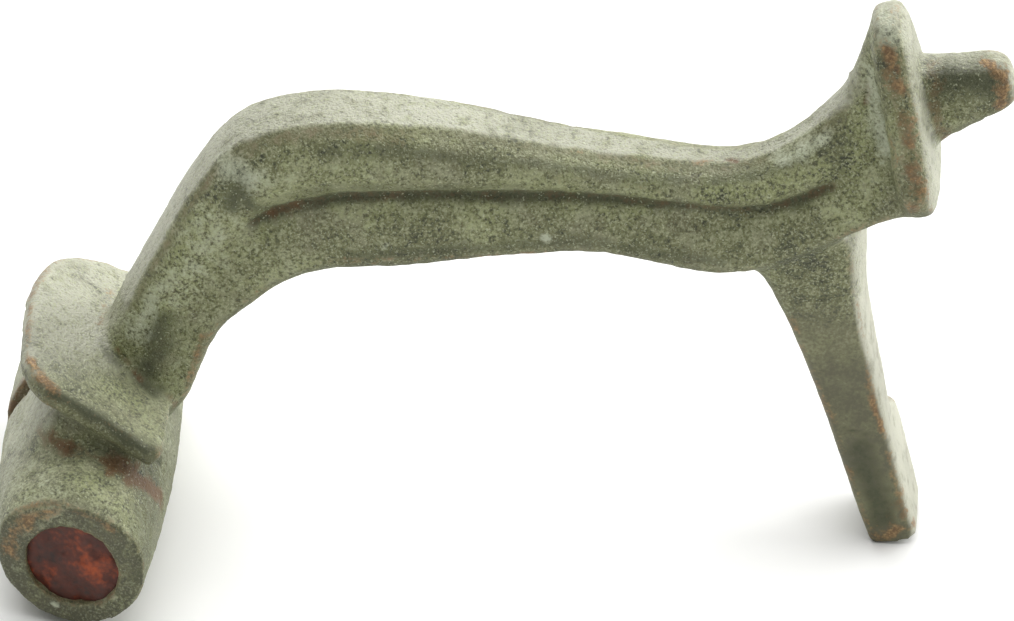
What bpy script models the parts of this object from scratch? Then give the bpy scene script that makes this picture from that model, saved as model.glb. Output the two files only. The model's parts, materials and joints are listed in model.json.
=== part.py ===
"""Bronze hinged knee brooch with a T-shaped head and a crested foot.

The casting is one piece: hinge tube, neck, collar, leg, knee, bow, crest, knob and catch. The iron
axle that once held the pin is a second piece, rusted into the hinge tube.

Frame: +X runs from the hinge to the foot, +Y across the bow and +Z up. The brooch stands on the
underside of its hinge tube and on the tip of its catch. Forms are drawn from the point of the ground
under the hinge axis, and the finished brooch is then moved so that the origin lies on the ground
under the middle of its box.
"""

from math import cos, pi, radians, sin

import bmesh
import bpy
import numpy as np
from mathutils import Matrix, Vector

MM = 0.001

# Hinge tube, a slightly swollen barrel across the head
HINGE_HEIGHT = 3.1 * MM
TUBE_RADIUS = 3.4 * MM
TUBE_END_RADIUS = 2.9 * MM
TUBE_NEAR = 8.4 * MM
TUBE_FAR = 7.5 * MM
TUBE_END_SLANT = radians(13.0)
BORE_RADIUS = 1.8 * MM
SLOT_WIDTH = 1.3 * MM
SLOT_DEPTH = 2.6 * MM

# Iron axle in the bore
AXLE_CLEARANCE = 0.3 * MM
AXLE_RECESS = 0.5 * MM

# Collar and neck, square to a line that leans from the hinge axis towards the foot. The collar's
# outline is drawn in millimetres, inward along the plate and across the brooch
HEAD_LEAN = radians(31.0)
COLLAR_TOP = 4.7 * MM
COLLAR_THICKNESS = 0.8 * MM
COLLAR_OUTLINE = ((1.2, 4.5), (0.9, 4.8), (-1.5, 4.65), (-3.0, 4.25), (-4.4, 3.2), (-5.1, 1.3),
                  (-5.25, -0.25), (-5.2, -1.9), (-5.1, -3.6), (-4.75, -4.95), (-4.0, -5.6),
                  (-2.5, -5.75), (-0.8, -5.9), (0.8, -6.15), (1.2, -5.8))
NECK_OUTER = 3.3 * MM
NECK_INNER = 1.2 * MM
NECK_NEAR = 5.3 * MM
NECK_FAR = 3.8 * MM
NECK_SPREAD = 0.6 * MM
NECK_SQUARENESS = 5.0

# Bow, drawn in hundredths of its length from the hinge axis to the crest. Each station is a line
# across the bow, from its under edge to its back, in (x, z), with the half widths of the lower band
# and of the upper moulding as shares of the bow's, the height of the groove between them as a share
# of the line, how deep the groove is there as a share of its full depth, and the squareness of the back
BOW_LENGTH = 32.2 * MM
BOW_HALF_WIDTH = 2.35 * MM
BOW_STATIONS = {
    "leg foot": ((12.5, 19.9), (1.3, 24.9), 0.89, 0.85, 0.45, 0.0, 2.8),
    "leg": ((16.9, 30.0), (7.9, 38.8), 0.91, 0.87, 0.45, 0.15, 2.8),
    "leg top": ((20.5, 33.5), (12.6, 48.0), 0.96, 0.91, 0.45, 0.3, 2.8),
    "knee": ((23.6, 36.2), (18.3, 55.2), 0.98, 0.94, 0.48, 0.8, 3.0),
    "bow rise": ((29.2, 38.8), (27.4, 58.2), 1.0, 0.96, 0.51, 1.0, 3.1),
    "bow crown": ((37.9, 39.6), (37.9, 58.1), 1.0, 0.94, 0.53, 1.0, 3.0),
    "bow waist": ((61.2, 42.3), (61.2, 54.3), 0.96, 0.87, 0.62, 1.0, 2.2),
    "foot": ((79.2, 40.0), (79.8, 53.4), 0.96, 0.87, 0.57, 1.0, 2.1),
    "foot rise": ((90.0, 45.1), (88.3, 60.0), 1.02, 0.77, 0.53, 0.7, 1.9),
    "crest root": ((96.3, 48.9), (91.3, 65.4), 1.2, 0.6, 0.5, 0.2, 1.8),
    "crest top": ((100.0, 50.3), (93.6, 73.4), 1.32, 0.45, 0.5, 0.0, 1.8),
}
BOW_RINGS = 110
RING_SIDES = 28
GROOVE_DEPTH = 0.45 * MM
GROOVE_WIDTH = 0.55 * MM
BAND_ROUNDING = ((0.0, 0.0), (0.55, 0.0), (0.85, 0.01), (0.98, 0.07))
LEG_ROOT_SINK = 0.25 * MM

# Crest, an upright plate across the foot that leans back over the bow: half widths and heights as
# shares of its foot's half width and of its height. A web behind it runs from its top to the knob
CREST_LEAN = radians(12.0)
CREST_HEIGHT = 7.85 * MM
CREST_THICKNESS = 1.45 * MM
CREST_HALF_WIDTH = 3.85 * MM
CREST_OUTLINE = ((0.0, 0.0), (0.5, 0.0), (0.86, 0.05), (1.0, 0.19), (0.82, 0.36), (0.62, 0.56),
                 (0.44, 0.82), (0.25, 0.96), (0.0, 1.0))
CREST_EDGE_SHARE = 0.86
WEB_HALF_WIDTH = 1.3 * MM
WEB_REACH = 1.5 * MM
WEB_SQUARENESS = 2.4

# Knob behind the crest: where it starts above the crest's foot, how it points, and its half sizes
KNOB_HEIGHT = 3.75 * MM
KNOB_LENGTH = 3.5 * MM
KNOB_RISE = radians(19.0)
KNOB_ROOT_SIZE = (1.0 * MM, 1.75 * MM)
KNOB_END_SIZE = (0.95 * MM, 1.05 * MM)
KNOB_SQUARENESS = 3.6
KNOB_DOME = ((-0.25, 1.0), (0.0, 1.0), (0.35, 1.0), (0.7, 1.0), (0.85, 0.95), (0.95, 0.8), (1.0, 0.5))

# Catch, a tapering plate that reaches down from the foot to the ground, folded over at its tip: each
# station is its inner edge, its outer edge and its height in hundredths of the bow's length. The
# twist is how far its root leans along the brooch for each step across it
CATCH_STATIONS = {
    "in the foot": (73.5, 92.0, 44.4),
    "inner corner": (80.0, 92.3, 39.1),
    "root": (82.6, 92.6, 34.5),
    "plate": (85.3, 93.9, 27.7),
    "tip": (94.2, 100.4, -0.3),
}
CATCH_TOP_HALF_WIDTH = 1.85 * MM
CATCH_NEAR = 1.35 * MM
CATCH_FAR = 1.25 * MM
CATCH_TWIST = 0.15
CATCH_SQUARENESS = 6.0
CATCH_FACE_HEIGHT = 7.5 * MM
CATCH_FACE_DEPTH = 0.06 * MM
CATCH_TIP_SLOPE = radians(15.0)
CATCH_TOE_LENGTH = 0.35 * MM
FOLD_TOP = 5.0 * MM
FOLD_THICKNESS = 1.35 * MM
FOLD_SWELL = ((0.0, 0.35), (0.06, 0.75), (0.14, 0.95), (0.25, 1.0), (0.7, 1.0), (1.0, 0.8))
FOLD_CHANNEL = 0.4 * MM
FOLD_CHANNEL_WALL = 0.1 * MM
FOLD_CHANNEL_DEPTH = 2.2 * MM
FOLD_END_WALL = 0.5 * MM

# Casting finish
CAST_GRID = 0.2 * MM
CAST_SOFTENING = 5
CAST_FACE_SHARE = 0.105

BRONZE = ((0.16, 0.18, 0.10, 1.0), 0.35, 0.6)
RUSTED_IRON = ((0.21, 0.06, 0.02, 1.0), 0.1, 0.85)


def clear_scene():
    for thing in list(bpy.data.objects):
        bpy.data.objects.remove(thing, do_unlink=True)


def make_material(name, look):
    colour, metallic, roughness = look
    material = bpy.data.materials.new(name)
    material.use_nodes = True
    shader = material.node_tree.nodes["Principled BSDF"]
    shader.inputs["Base Color"].default_value = colour
    shader.inputs["Metallic"].default_value = metallic
    shader.inputs["Roughness"].default_value = roughness
    return material


def make_object(name, mesh, parent):
    thing = bpy.data.objects.new(name, mesh)
    bpy.context.scene.collection.objects.link(thing)
    thing.parent = parent
    return thing


def make_cutter(name, mesh, parent):
    """A shape that only cuts the casting, shown as a wire and left out of renders."""
    thing = make_object(name, mesh, parent)
    thing.hide_render = True
    thing.display_type = "WIRE"
    return thing


def loft(name, rings):
    """A closed skin over rings of points, with a flat cap on the first and the last ring."""
    count, sides = rings.shape[:2]
    mesh = bpy.data.meshes.new(name)
    index = np.arange(count * sides).reshape(count, sides)
    here, after = index[:-1], index[1:]
    quads = np.stack([here, np.roll(here, -1, 1), np.roll(after, -1, 1), after], -1).reshape(-1, 4)
    faces = quads.tolist() + [index[0, ::-1].tolist(), index[-1].tolist()]
    mesh.from_pydata(rings.reshape(-1, 3).tolist(), [], faces)
    face_outwards(mesh)
    return mesh


def face_outwards(mesh):
    shape = bmesh.new()
    shape.from_mesh(mesh)
    bmesh.ops.recalc_face_normals(shape, faces=shape.faces)
    shape.to_mesh(mesh)
    shape.free()


def gather(name, meshes):
    """One mesh of several closed forms that run into each other."""
    shape = bmesh.new()
    for mesh in meshes:
        shape.from_mesh(mesh)
    gathered = bpy.data.meshes.new(name)
    shape.to_mesh(gathered)
    shape.free()
    return gathered


def smooth_through(values, along, at):
    """Cubic curve through values placed along a length, read at other places of that length."""
    values = np.asarray(values, float).reshape(len(along), -1)
    gap = np.diff(along)[:, None]
    rise = np.diff(values, axis=0) / gap
    slope = np.empty_like(values)
    slope[1:-1] = (rise[:-1] * gap[1:] + rise[1:] * gap[:-1]) / (gap[1:] + gap[:-1])
    slope[0], slope[-1] = rise[0], rise[-1]
    cell = np.clip(np.searchsorted(along, at, side="right") - 1, 0, len(along) - 2)
    width = gap[cell]
    t = (at[:, None] - np.asarray(along)[cell][:, None]) / width
    start, end = values[cell], values[cell + 1]
    out, into = slope[cell] * width, slope[cell + 1] * width
    return ((2 * t**3 - 3 * t**2 + 1) * start + (t**3 - 2 * t**2 + t) * out
            + (3 * t**2 - 2 * t**3) * end + (t**3 - t**2) * into)


def lengths_along(points):
    """How far each point lies along the chain of points."""
    return np.concatenate([[0.0], np.cumsum(np.linalg.norm(np.diff(points, axis=0), axis=1))])


def rounded_ring(centre, across, up, half_across, half_up, squareness, sides=RING_SIDES):
    """A superellipse in the plane of two directions."""
    turn = np.linspace(0, 2 * pi, sides, endpoint=False)
    reach = np.abs(np.cos(turn)) ** (2 / squareness) * np.sign(np.cos(turn)) * half_across
    rise = np.abs(np.sin(turn)) ** (2 / squareness) * np.sign(np.sin(turn)) * half_up
    return np.asarray(centre) + reach[:, None] * np.asarray(across) + rise[:, None] * np.asarray(up)


def round_ring(centre, across, up, radius, sides=RING_SIDES):
    return rounded_ring(centre, across, up, radius, radius, 2.0, sides)


def head_point(inward, lift, side=0.0):
    """A point of the head: inward along the collar, lift up the leaning line from the hinge axis."""
    x = inward * cos(HEAD_LEAN) + lift * sin(HEAD_LEAN)
    z = HINGE_HEIGHT - inward * sin(HEAD_LEAN) + lift * cos(HEAD_LEAN)
    return np.array((x, side, z))


def bow_section(height, band, moulding, groove_share, groove_depth, squareness):
    """Half outline of the bow's section from the middle of its under edge to the ridge of its back.

    The lower band stands on a flat under edge and leans in to the groove, and the upper moulding is a
    quarter of a superellipse from the groove to the back. Returns (half width, height) pairs.
    """
    groove = groove_share * height
    under = np.array(BAND_ROUNDING) * (band, height)
    climb = np.linspace(2 * BAND_ROUNDING[-1][1] * height, groove, 7)
    flank = band + (moulding - band) * (climb / groove)
    lower = np.stack([flank, climb], -1)
    turn = np.linspace(0, pi / 2, 11)[1:]
    upper_width = moulding * np.cos(turn) ** (2 / squareness)
    upper_height = groove + (height - groove) * np.sin(turn) ** (2 / squareness)
    outline = np.concatenate([under, lower, np.stack([upper_width, upper_height], -1)])
    hollow = np.exp(-((outline[:, 1] - groove) / GROOVE_WIDTH) ** 2)
    outline[:, 0] -= groove_depth * hollow * (outline[:, 0] > 0.6 * band)
    outline[-1, 0] = 0.0
    return outline


def bow_mesh():
    """Leg, knee and bow: sections carried along the stations from the collar to the crest."""
    rows = np.array([(*under, *back, *rest) for under, back, *rest in BOW_STATIONS.values()])
    along = lengths_along((rows[:, :2] + rows[:, 2:4]) / 2)
    steps = smooth_through(rows, along, np.linspace(0, along[-1], BOW_RINGS))
    places = steps[:, :4] * BOW_LENGTH / 100
    widths = steps[:, 4:6] * BOW_HALF_WIDTH
    rings = []
    for place, width, (share, depth, squareness) in zip(places, widths, steps[:, 6:]):
        under = np.array((place[0], 0.0, place[1]))
        rise = np.array((place[2], 0.0, place[3])) - under
        height = np.linalg.norm(rise)
        half = bow_section(height, *width, share, depth * GROOVE_DEPTH, squareness)
        near = np.concatenate([half, half[-2:0:-1] * (-1, 1)])
        rings.append(under + near[:, :1] * (0, 1, 0) + near[:, 1:] * rise / height)
    start = head_point(-LEG_ROOT_SINK, HINGE_HEIGHT / 2)
    first = rings[0] * 0.9 + 0.1 * rings[0].mean(axis=0)
    rings.insert(0, first + start - first.mean(axis=0))
    return loft("bow", np.array(rings))


def tube_mesh():
    """Hinge tube, a barrel whose radius falls with the square of the way to its ends."""
    rings = []
    for place in np.linspace(-TUBE_NEAR - TUBE_RADIUS, TUBE_FAR + TUBE_RADIUS, 25):
        share = min(abs(place) / (TUBE_FAR if place > 0 else TUBE_NEAR), 1.2)
        radius = TUBE_RADIUS - (TUBE_RADIUS - TUBE_END_RADIUS) * share**2
        rings.append(round_ring((0, place, HINGE_HEIGHT), (1, 0, 0), (0, 0, 1), radius, 2 * RING_SIDES))
    return loft("tube", np.array(rings))


def collar_mesh():
    """Collar plate, cut to its outline and square to the leaning line of the head."""
    corners = np.array(COLLAR_OUTLINE) * MM
    along = lengths_along(corners)
    outline = smooth_through(corners, along, np.linspace(0, along[-1], 40))
    rings = [[head_point(inward, lift, side) for inward, side in outline]
             for lift in (COLLAR_TOP - COLLAR_THICKNESS, COLLAR_TOP)]
    return loft("collar", np.array(rings))


def neck_mesh():
    """Neck between the tube and the collar, which spreads towards the tube."""
    across = head_point(1, 0) - head_point(0, 0)
    rings = []
    for share in np.linspace(0, 1, 7):
        spread = NECK_SPREAD * (1 - share) ** 1.5
        centre = head_point((NECK_INNER - NECK_OUTER) / 2, share * (COLLAR_TOP - COLLAR_THICKNESS / 2),
                            (NECK_FAR - NECK_NEAR) / 2)
        rings.append(rounded_ring(centre, across, (0, 1, 0), (NECK_OUTER + NECK_INNER) / 2,
                                  (NECK_NEAR + NECK_FAR) / 2 + spread, NECK_SQUARENESS, 40))
    return loft("neck", np.array(rings))


def crest_foot():
    """The middle of the crest's foot, which is the under edge of the bow's last station."""
    under = BOW_STATIONS["crest top"][0]
    return np.array((under[0], 0, under[1])) * BOW_LENGTH / 100


def crest_directions():
    """Up the leaning crest, and out of its back."""
    return np.array((-sin(CREST_LEAN), 0, cos(CREST_LEAN))), np.array((cos(CREST_LEAN), 0, sin(CREST_LEAN)))


def crest_mesh():
    """Crest plate: a hood, round at its top, drawn in at its middle and widest near its foot."""
    corners = np.array(CREST_OUTLINE) * (CREST_HALF_WIDTH, CREST_HEIGHT)
    along = lengths_along(corners)
    outline = smooth_through(corners, along, np.linspace(0, along[-1], 25))
    outline = np.concatenate([outline, outline[-2:0:-1] * (-1, 1)])
    middle = outline.mean(axis=0)
    up, out = crest_directions()
    rings = []
    for place, share in ((-0.5, CREST_EDGE_SHARE), (-0.3, 1.0), (0.3, 1.0), (0.5, CREST_EDGE_SHARE)):
        face = middle + (outline - middle) * share
        centre = crest_foot() + place * CREST_THICKNESS * out
        rings.append(centre + face[:, :1] * (0, 1, 0) + face[:, 1:] * up)
    return loft("crest", np.array(rings))


def web_mesh():
    """Web behind the crest: round sections that swell from the crest's top to the root of the knob."""
    up, out = crest_directions()
    rings = []
    for share in np.linspace(0, 1, 9):
        height = CREST_HEIGHT + (KNOB_HEIGHT - CREST_HEIGHT) * share
        reach = WEB_REACH * share**1.6
        half = WEB_HALF_WIDTH * (0.35 + 0.65 * share)
        centre = crest_foot() + (height - CREST_THICKNESS / 2) * up + reach / 2 * out
        rings.append(rounded_ring(centre, out, (0, 1, 0), CREST_THICKNESS / 4 + reach / 2, half,
                                  WEB_SQUARENESS))
    return loft("web", np.array(rings))


def knob_mesh():
    """Knob: squarish sections that shrink from the crest to its end, which is domed."""
    up, _ = crest_directions()
    root = crest_foot() + KNOB_HEIGHT * up * (0, 0, 1)
    forward = np.array((cos(KNOB_RISE), 0, sin(KNOB_RISE)))
    above = np.array((-sin(KNOB_RISE), 0, cos(KNOB_RISE)))
    rings = []
    for share, dome in KNOB_DOME:
        shrink = 1 - (1 - min(max(share, 0), 1)) ** 1.5
        across, high = (dome * (a + (b - a) * shrink) for a, b in zip(KNOB_ROOT_SIZE, KNOB_END_SIZE))
        centre = root + KNOB_LENGTH * share * forward
        rings.append(rounded_ring(centre, (0, 1, 0), above, across, high, KNOB_SQUARENESS))
    return loft("knob", np.array(rings))


def catch_mesh():
    """Catch plate: flat sections that narrow, thin and untwist from the foot to the tip."""
    rows = np.array(list(CATCH_STATIONS.values())) * BOW_LENGTH / 100
    top = rows[0, 2]
    along = top - rows[:, 2]
    rings = []
    for inner, outer, z in smooth_through(rows, along, np.linspace(0, along[-1], 24)):
        near, far = (CATCH_TOP_HALF_WIDTH + (half - CATCH_TOP_HALF_WIDTH) * min(1, (top - z) / (top - end))
                     for half, end in ((CATCH_NEAR, CATCH_FACE_HEIGHT), (CATCH_FAR, FOLD_TOP)))
        twist = CATCH_TWIST * max(0, z - FOLD_TOP) / (top - FOLD_TOP)
        half = (near + far) / 2
        centre = ((inner + outer) / 2 + twist * half, (far - near) / 2, z)
        rings.append(rounded_ring(centre, (1, 0, 0), (twist, 1, 0), (outer - inner) / 2, half,
                                  CATCH_SQUARENESS))
    return loft("catch", np.array(rings))


def catch_edges(z):
    """The inner and outer edge of the catch plate at a height along its straight stretch."""
    ends = np.array([CATCH_STATIONS["plate"], CATCH_STATIONS["tip"]]) * BOW_LENGTH / 100
    share = (ends[0, 2] - z) / (ends[0, 2] - ends[1, 2])
    return ends[0, :2] + (ends[1, :2] - ends[0, :2]) * share


def fold_mesh():
    """Fold on the far face of the catch, rounded at its upper end."""
    rings = []
    tip = CATCH_STATIONS["tip"][2] * BOW_LENGTH / 100
    for share, swell in FOLD_SWELL:
        z = FOLD_TOP + (tip - FOLD_TOP) * share
        inner, outer = catch_edges(z)
        reach = CATCH_FAR + FOLD_THICKNESS * swell
        rings.append(rounded_ring(((inner + outer) / 2, reach / 2, z), (1, 0, 0), (0, 1, 0),
                                  (outer - inner) / 2 * (0.9 + 0.1 * swell), reach / 2, CATCH_SQUARENESS))
    return loft("fold", np.array(rings))


def box_mesh(name, low, high, turn=Matrix(), about=(0, 0, 0)):
    """A box between two corners, turned about a point."""
    shape = bmesh.new()
    bmesh.ops.create_cube(shape, size=1.0)
    low, high, about = Vector(low), Vector(high), Vector(about)
    bmesh.ops.scale(shape, vec=high - low, verts=shape.verts)
    bmesh.ops.translate(shape, vec=(high + low) / 2, verts=shape.verts)
    bmesh.ops.rotate(shape, cent=about, matrix=turn, verts=shape.verts)
    mesh = bpy.data.meshes.new(name)
    shape.to_mesh(mesh)
    shape.free()
    return mesh


def barrel_mesh(name, radius, near, far, sides=40):
    """A straight round bar on the hinge axis, from a near to a far place."""
    rings = [round_ring((0, place, HINGE_HEIGHT), (1, 0, 0), (0, 0, 1), radius, sides)
             for place in (-near, far)]
    return loft(name, np.array(rings))


def cut(body, cutter):
    step = body.modifiers.new(cutter.name, "BOOLEAN")
    step.operation = "DIFFERENCE"
    step.solver = "EXACT"
    step.object = cutter


def finish_casting(body):
    """Melt the gathered forms into one skin with soft inner corners, as wax and casting leave them."""
    skin = body.modifiers.new("cast skin", "REMESH")
    skin.mode = "VOXEL"
    skin.voxel_size = CAST_GRID
    soften = body.modifiers.new("soft corners", "SMOOTH")
    soften.factor = 0.5
    soften.iterations = CAST_SOFTENING
    thin = body.modifiers.new("fewer faces", "DECIMATE")
    thin.ratio = CAST_FACE_SHARE


def end_cutter_mesh(side, place):
    """The waste beyond one slanted end of the hinge tube, which is longest towards the foot."""
    middle = side * place
    reach = 3 * TUBE_RADIUS
    low = (-reach, min(middle, middle + side * reach), -reach)
    high = (reach, max(middle, middle + side * reach), reach)
    turn = Matrix.Rotation(side * TUBE_END_SLANT, 3, "Z")
    return box_mesh("end cutter", low, high, turn, (0, middle, 0))


def slot_cutter_mesh():
    """The slot for the lost pin, through the outer wall of the tube under the collar."""
    low = (-3 * TUBE_RADIUS, -SLOT_WIDTH / 2, HINGE_HEIGHT - 3 * TUBE_RADIUS)
    high = (-TUBE_RADIUS + SLOT_DEPTH, SLOT_WIDTH / 2, HINGE_HEIGHT + COLLAR_TOP - 1.3 * COLLAR_THICKNESS)
    return box_mesh("slot cutter", low, high, Matrix.Rotation(HEAD_LEAN, 3, "Y"), (0, 0, HINGE_HEIGHT))


def ground_mesh():
    """Everything below the ground under the brooch."""
    reach = 2 * TUBE_NEAR
    return box_mesh("ground", (-reach, -reach, -reach), (2 * BOW_LENGTH, reach, 0))


def tip_slope_mesh():
    """The waste under the catch's slanted tip, which rests on a short toe."""
    inner, outer = catch_edges(0)
    low = (inner - TUBE_NEAR, -TUBE_NEAR, -TUBE_NEAR)
    high = (outer + TUBE_NEAR, TUBE_NEAR, 0)
    toe = (inner + outer) / 2 - CATCH_TOE_LENGTH
    return box_mesh("tip slope", low, high, Matrix.Rotation(-CATCH_TIP_SLOPE, 3, "Y"), (toe, 0, 0))


def catch_face_mesh():
    """The thin waste that leaves the catch's near face flat."""
    inner, outer = catch_edges(FOLD_TOP)
    low = (inner - TUBE_NEAR, -CATCH_NEAR - TUBE_NEAR, -TUBE_NEAR)
    high = (outer + TUBE_NEAR, -CATCH_NEAR + CATCH_FACE_DEPTH, CATCH_FACE_HEIGHT)
    return box_mesh("catch face", low, high)


def catch_channel_mesh():
    """The channel for the pin between the catch and its fold, closed at its outer end."""
    inner, outer = catch_edges(FOLD_TOP)
    wall = CATCH_FAR + FOLD_CHANNEL_WALL
    low = (inner - TUBE_NEAR / 2, wall, FOLD_TOP - FOLD_CHANNEL_DEPTH)
    high = (outer - FOLD_END_WALL, wall + FOLD_CHANNEL, FOLD_TOP + 2 * FOLD_THICKNESS)
    return box_mesh("catch channel", low, high)


def build_casting(parent):
    forms = (bow_mesh(), tube_mesh(), neck_mesh(), collar_mesh(), crest_mesh(), web_mesh(), knob_mesh(),
             catch_mesh(), fold_mesh())
    body = make_object("bronze_brooch", gather("casting", forms), parent)
    finish_casting(body)
    cuts = {
        "near end": end_cutter_mesh(-1, TUBE_NEAR),
        "far end": end_cutter_mesh(1, TUBE_FAR),
        "bore": barrel_mesh("bore", BORE_RADIUS, 1.5 * TUBE_NEAR, 1.5 * TUBE_FAR),
        "pin slot": slot_cutter_mesh(),
        "ground": ground_mesh(),
        "tip slope": tip_slope_mesh(),
        "catch face": catch_face_mesh(),
        "catch channel": catch_channel_mesh(),
    }
    for name, mesh in cuts.items():
        cut(body, make_cutter(name, mesh, parent))
    body.data.materials.append(make_material("patinated bronze", BRONZE))
    return body


def build_axle(parent):
    recess = AXLE_RECESS + TUBE_RADIUS * sin(TUBE_END_SLANT)
    axle = barrel_mesh("axle", BORE_RADIUS - AXLE_CLEARANCE, TUBE_NEAR - recess, TUBE_FAR - recess)
    body = make_object("iron_axle", axle, parent)
    body.data.materials.append(make_material("rusted iron", RUSTED_IRON))
    return body


def stand_over_origin(root, body):
    """Move everything so that the middle of the casting's box is over the origin."""
    bpy.context.view_layer.update()
    graph = bpy.context.evaluated_depsgraph_get()
    shape = body.evaluated_get(graph)
    mesh = shape.to_mesh()
    points = np.empty(3 * len(mesh.vertices))
    mesh.vertices.foreach_get("co", points)
    shape.to_mesh_clear()
    points = points.reshape(-1, 3)
    middle = (points.min(axis=0) + points.max(axis=0)) / 2
    root.location = (-middle[0], -middle[1], -points[:, 2].min())


def main():
    clear_scene()
    root = make_object("brooch origin", None, None)
    body = build_casting(root)
    build_axle(root)
    stand_over_origin(root, body)


main()
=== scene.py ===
"""Dresses a Roman knee brooch: cast bronze under a green patina, with an iron axle rusted into its hinge.

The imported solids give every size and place. The casting is the solid's own skin on a fine grid, with the
corrosion, pits, groove and worn edges moved into it. The axle is a surface worked out from two parameters.
Tables and places are in millimetres, from the ground under the middle of the hinge axis, and X points
towards the foot.
"""

import json
from itertools import product
from math import cos, radians, sin

import bmesh
import bpy
import numpy as np
from mathutils import Matrix, Vector


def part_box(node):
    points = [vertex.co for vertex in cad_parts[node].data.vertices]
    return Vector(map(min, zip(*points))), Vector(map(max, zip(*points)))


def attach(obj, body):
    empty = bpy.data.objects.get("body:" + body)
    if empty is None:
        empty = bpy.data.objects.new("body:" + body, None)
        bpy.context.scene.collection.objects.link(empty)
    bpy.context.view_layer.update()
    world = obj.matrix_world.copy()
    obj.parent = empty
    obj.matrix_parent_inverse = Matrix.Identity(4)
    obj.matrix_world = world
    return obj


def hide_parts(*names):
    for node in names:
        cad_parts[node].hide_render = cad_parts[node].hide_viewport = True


bl_info = {
    "name": "Knee brooch",
    "version": (1, 0, 0),
    "blender": (4, 5, 0),
    "location": "3D View > Sidebar > Brooch",
    "description": "Dresses a hinged bronze knee brooch with its patina, wear and rust",
    "category": "Object",
}

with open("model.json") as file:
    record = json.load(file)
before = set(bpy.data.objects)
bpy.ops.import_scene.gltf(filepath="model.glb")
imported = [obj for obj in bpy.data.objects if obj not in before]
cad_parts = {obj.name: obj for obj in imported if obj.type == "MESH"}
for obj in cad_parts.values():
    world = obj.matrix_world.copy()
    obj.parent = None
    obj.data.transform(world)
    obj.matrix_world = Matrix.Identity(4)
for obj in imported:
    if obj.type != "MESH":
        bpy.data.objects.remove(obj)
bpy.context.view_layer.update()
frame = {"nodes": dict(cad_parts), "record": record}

MM = 0.001
MERGE_DISTANCE = 1e-6

# The middle of the hinge axis and the radius of the axle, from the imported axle
AXLE_LOW, AXLE_HIGH = (np.array(corner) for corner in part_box("iron_axle"))
HINGE = (AXLE_LOW + AXLE_HIGH) / 2
GROUND_POINT = HINGE * (1, 1, 0)
HINGE_HEIGHT = HINGE[2] / MM
AXLE_RADIUS = (AXLE_HIGH[2] - AXLE_LOW[2]) / 2 / MM

# How far the middle plane of the bow lies beyond the middle of the tube
BOW_SIDE = 0.45

# Camera: the photograph's view, found by laying the solid's outline over the photograph
VIEW_AZIMUTH = radians(3.5)
VIEW_ELEVATION = radians(34.0)
VIEW_ROLL = radians(-0.3)
VIEW_DISTANCE = 400 * MM
VIEW_TARGET = GROUND_POINT + np.array((16.36, 0.45, 10)) * MM
VIEW_SLIDE = (-0.135 * MM, -0.339 * MM)
SENSOR_WIDTH = 36.0
FRAME_WIDTH = 1014
PIXELS_PER_RADIAN = 10388

# The groove between the lower band and the moulding of the bow, as (x, z) along either flank
GROOVE = ((6.7, 14.6), (7.5, 15.1), (8.5, 15.5), (10.0, 15.8), (12.3, 16.0), (16.1, 16.05), (18.4, 16.05),
          (20.6, 15.9), (23.7, 15.7), (25.2, 15.6), (26.4, 15.7), (27.5, 16.15), (28.6, 16.75))

# Half the width of the bow's flat back, as (x, half width) from the collar to the crest
BACK = ((2.0, 1.25), (9.6, 1.2), (13.4, 0.97), (16.8, 0.78), (20.0, 0.66), (23.3, 0.45), (27.4, 0.45),
        (29.4, 0.8))

# Wear at the tube's ends: how far the pin has drawn the bore down, and how much the rims have lost on top
BORE_WEAR = 0.3
RIM_WEAR = 0.42

# The grid that the axle is worked out on: rows from end to end, and points round it
AXLE_ROWS = 241
AXLE_SIDES = 96

# Middles, as (x, height over the axis), and spreads of the mound and the fresh rust on the axle's end faces
MOUND, MOUND_SPREAD = (0.6, -0.4), 1.1
FRESH, FRESH_SPREAD = (0.7, -0.2), 0.9

# Shares of the steps that relax the fine skin, which shrink and swell it in turn, and of those that find the
# mean of the surroundings of each place
FACET_STEPS = [0.5, -0.52] * 12
SURROUNDINGS_STEPS = [0.5] * 30

# Noises of the surfaces: the grain, and the seed of the random draws. Layered ones also use the next two
# seeds
NOISES = {
    "broad swells": (4.0, 11), "narrow swells": (1.7, 12), "crust": (0.5, 21), "fine crust": (0.3, 22),
    "pocks": (0.42, 23), "patches": (2.2, 31), "fine patches": (0.5, 35), "rim of the backs": (0.9, 41),
    "lumps along x": (0.8, 51), "lumps along y": (0.8, 55), "lumps along z": (0.8, 59),
    "fresh rust": (0.6, 63), "rims of the marks": (0.55, 71),
}

# Random values along each side of a noise's table
TABLE_SIDE = 64

# Added to a distance where its line doesn't count
FAR_AWAY = 9

# Lamps: the setting that holds the power, then the width, the depth and the place, which are in metres
LAMPS = (
    ("back_light", 1.5, 0.7, (0, 0.75, 0.55)),
    ("top_light", 0.9, 0.9, (0, 0.05, 0.9)),
    ("side_light", 0.8, 0.8, (0.9, 0.35, 0.4)),
)

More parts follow.
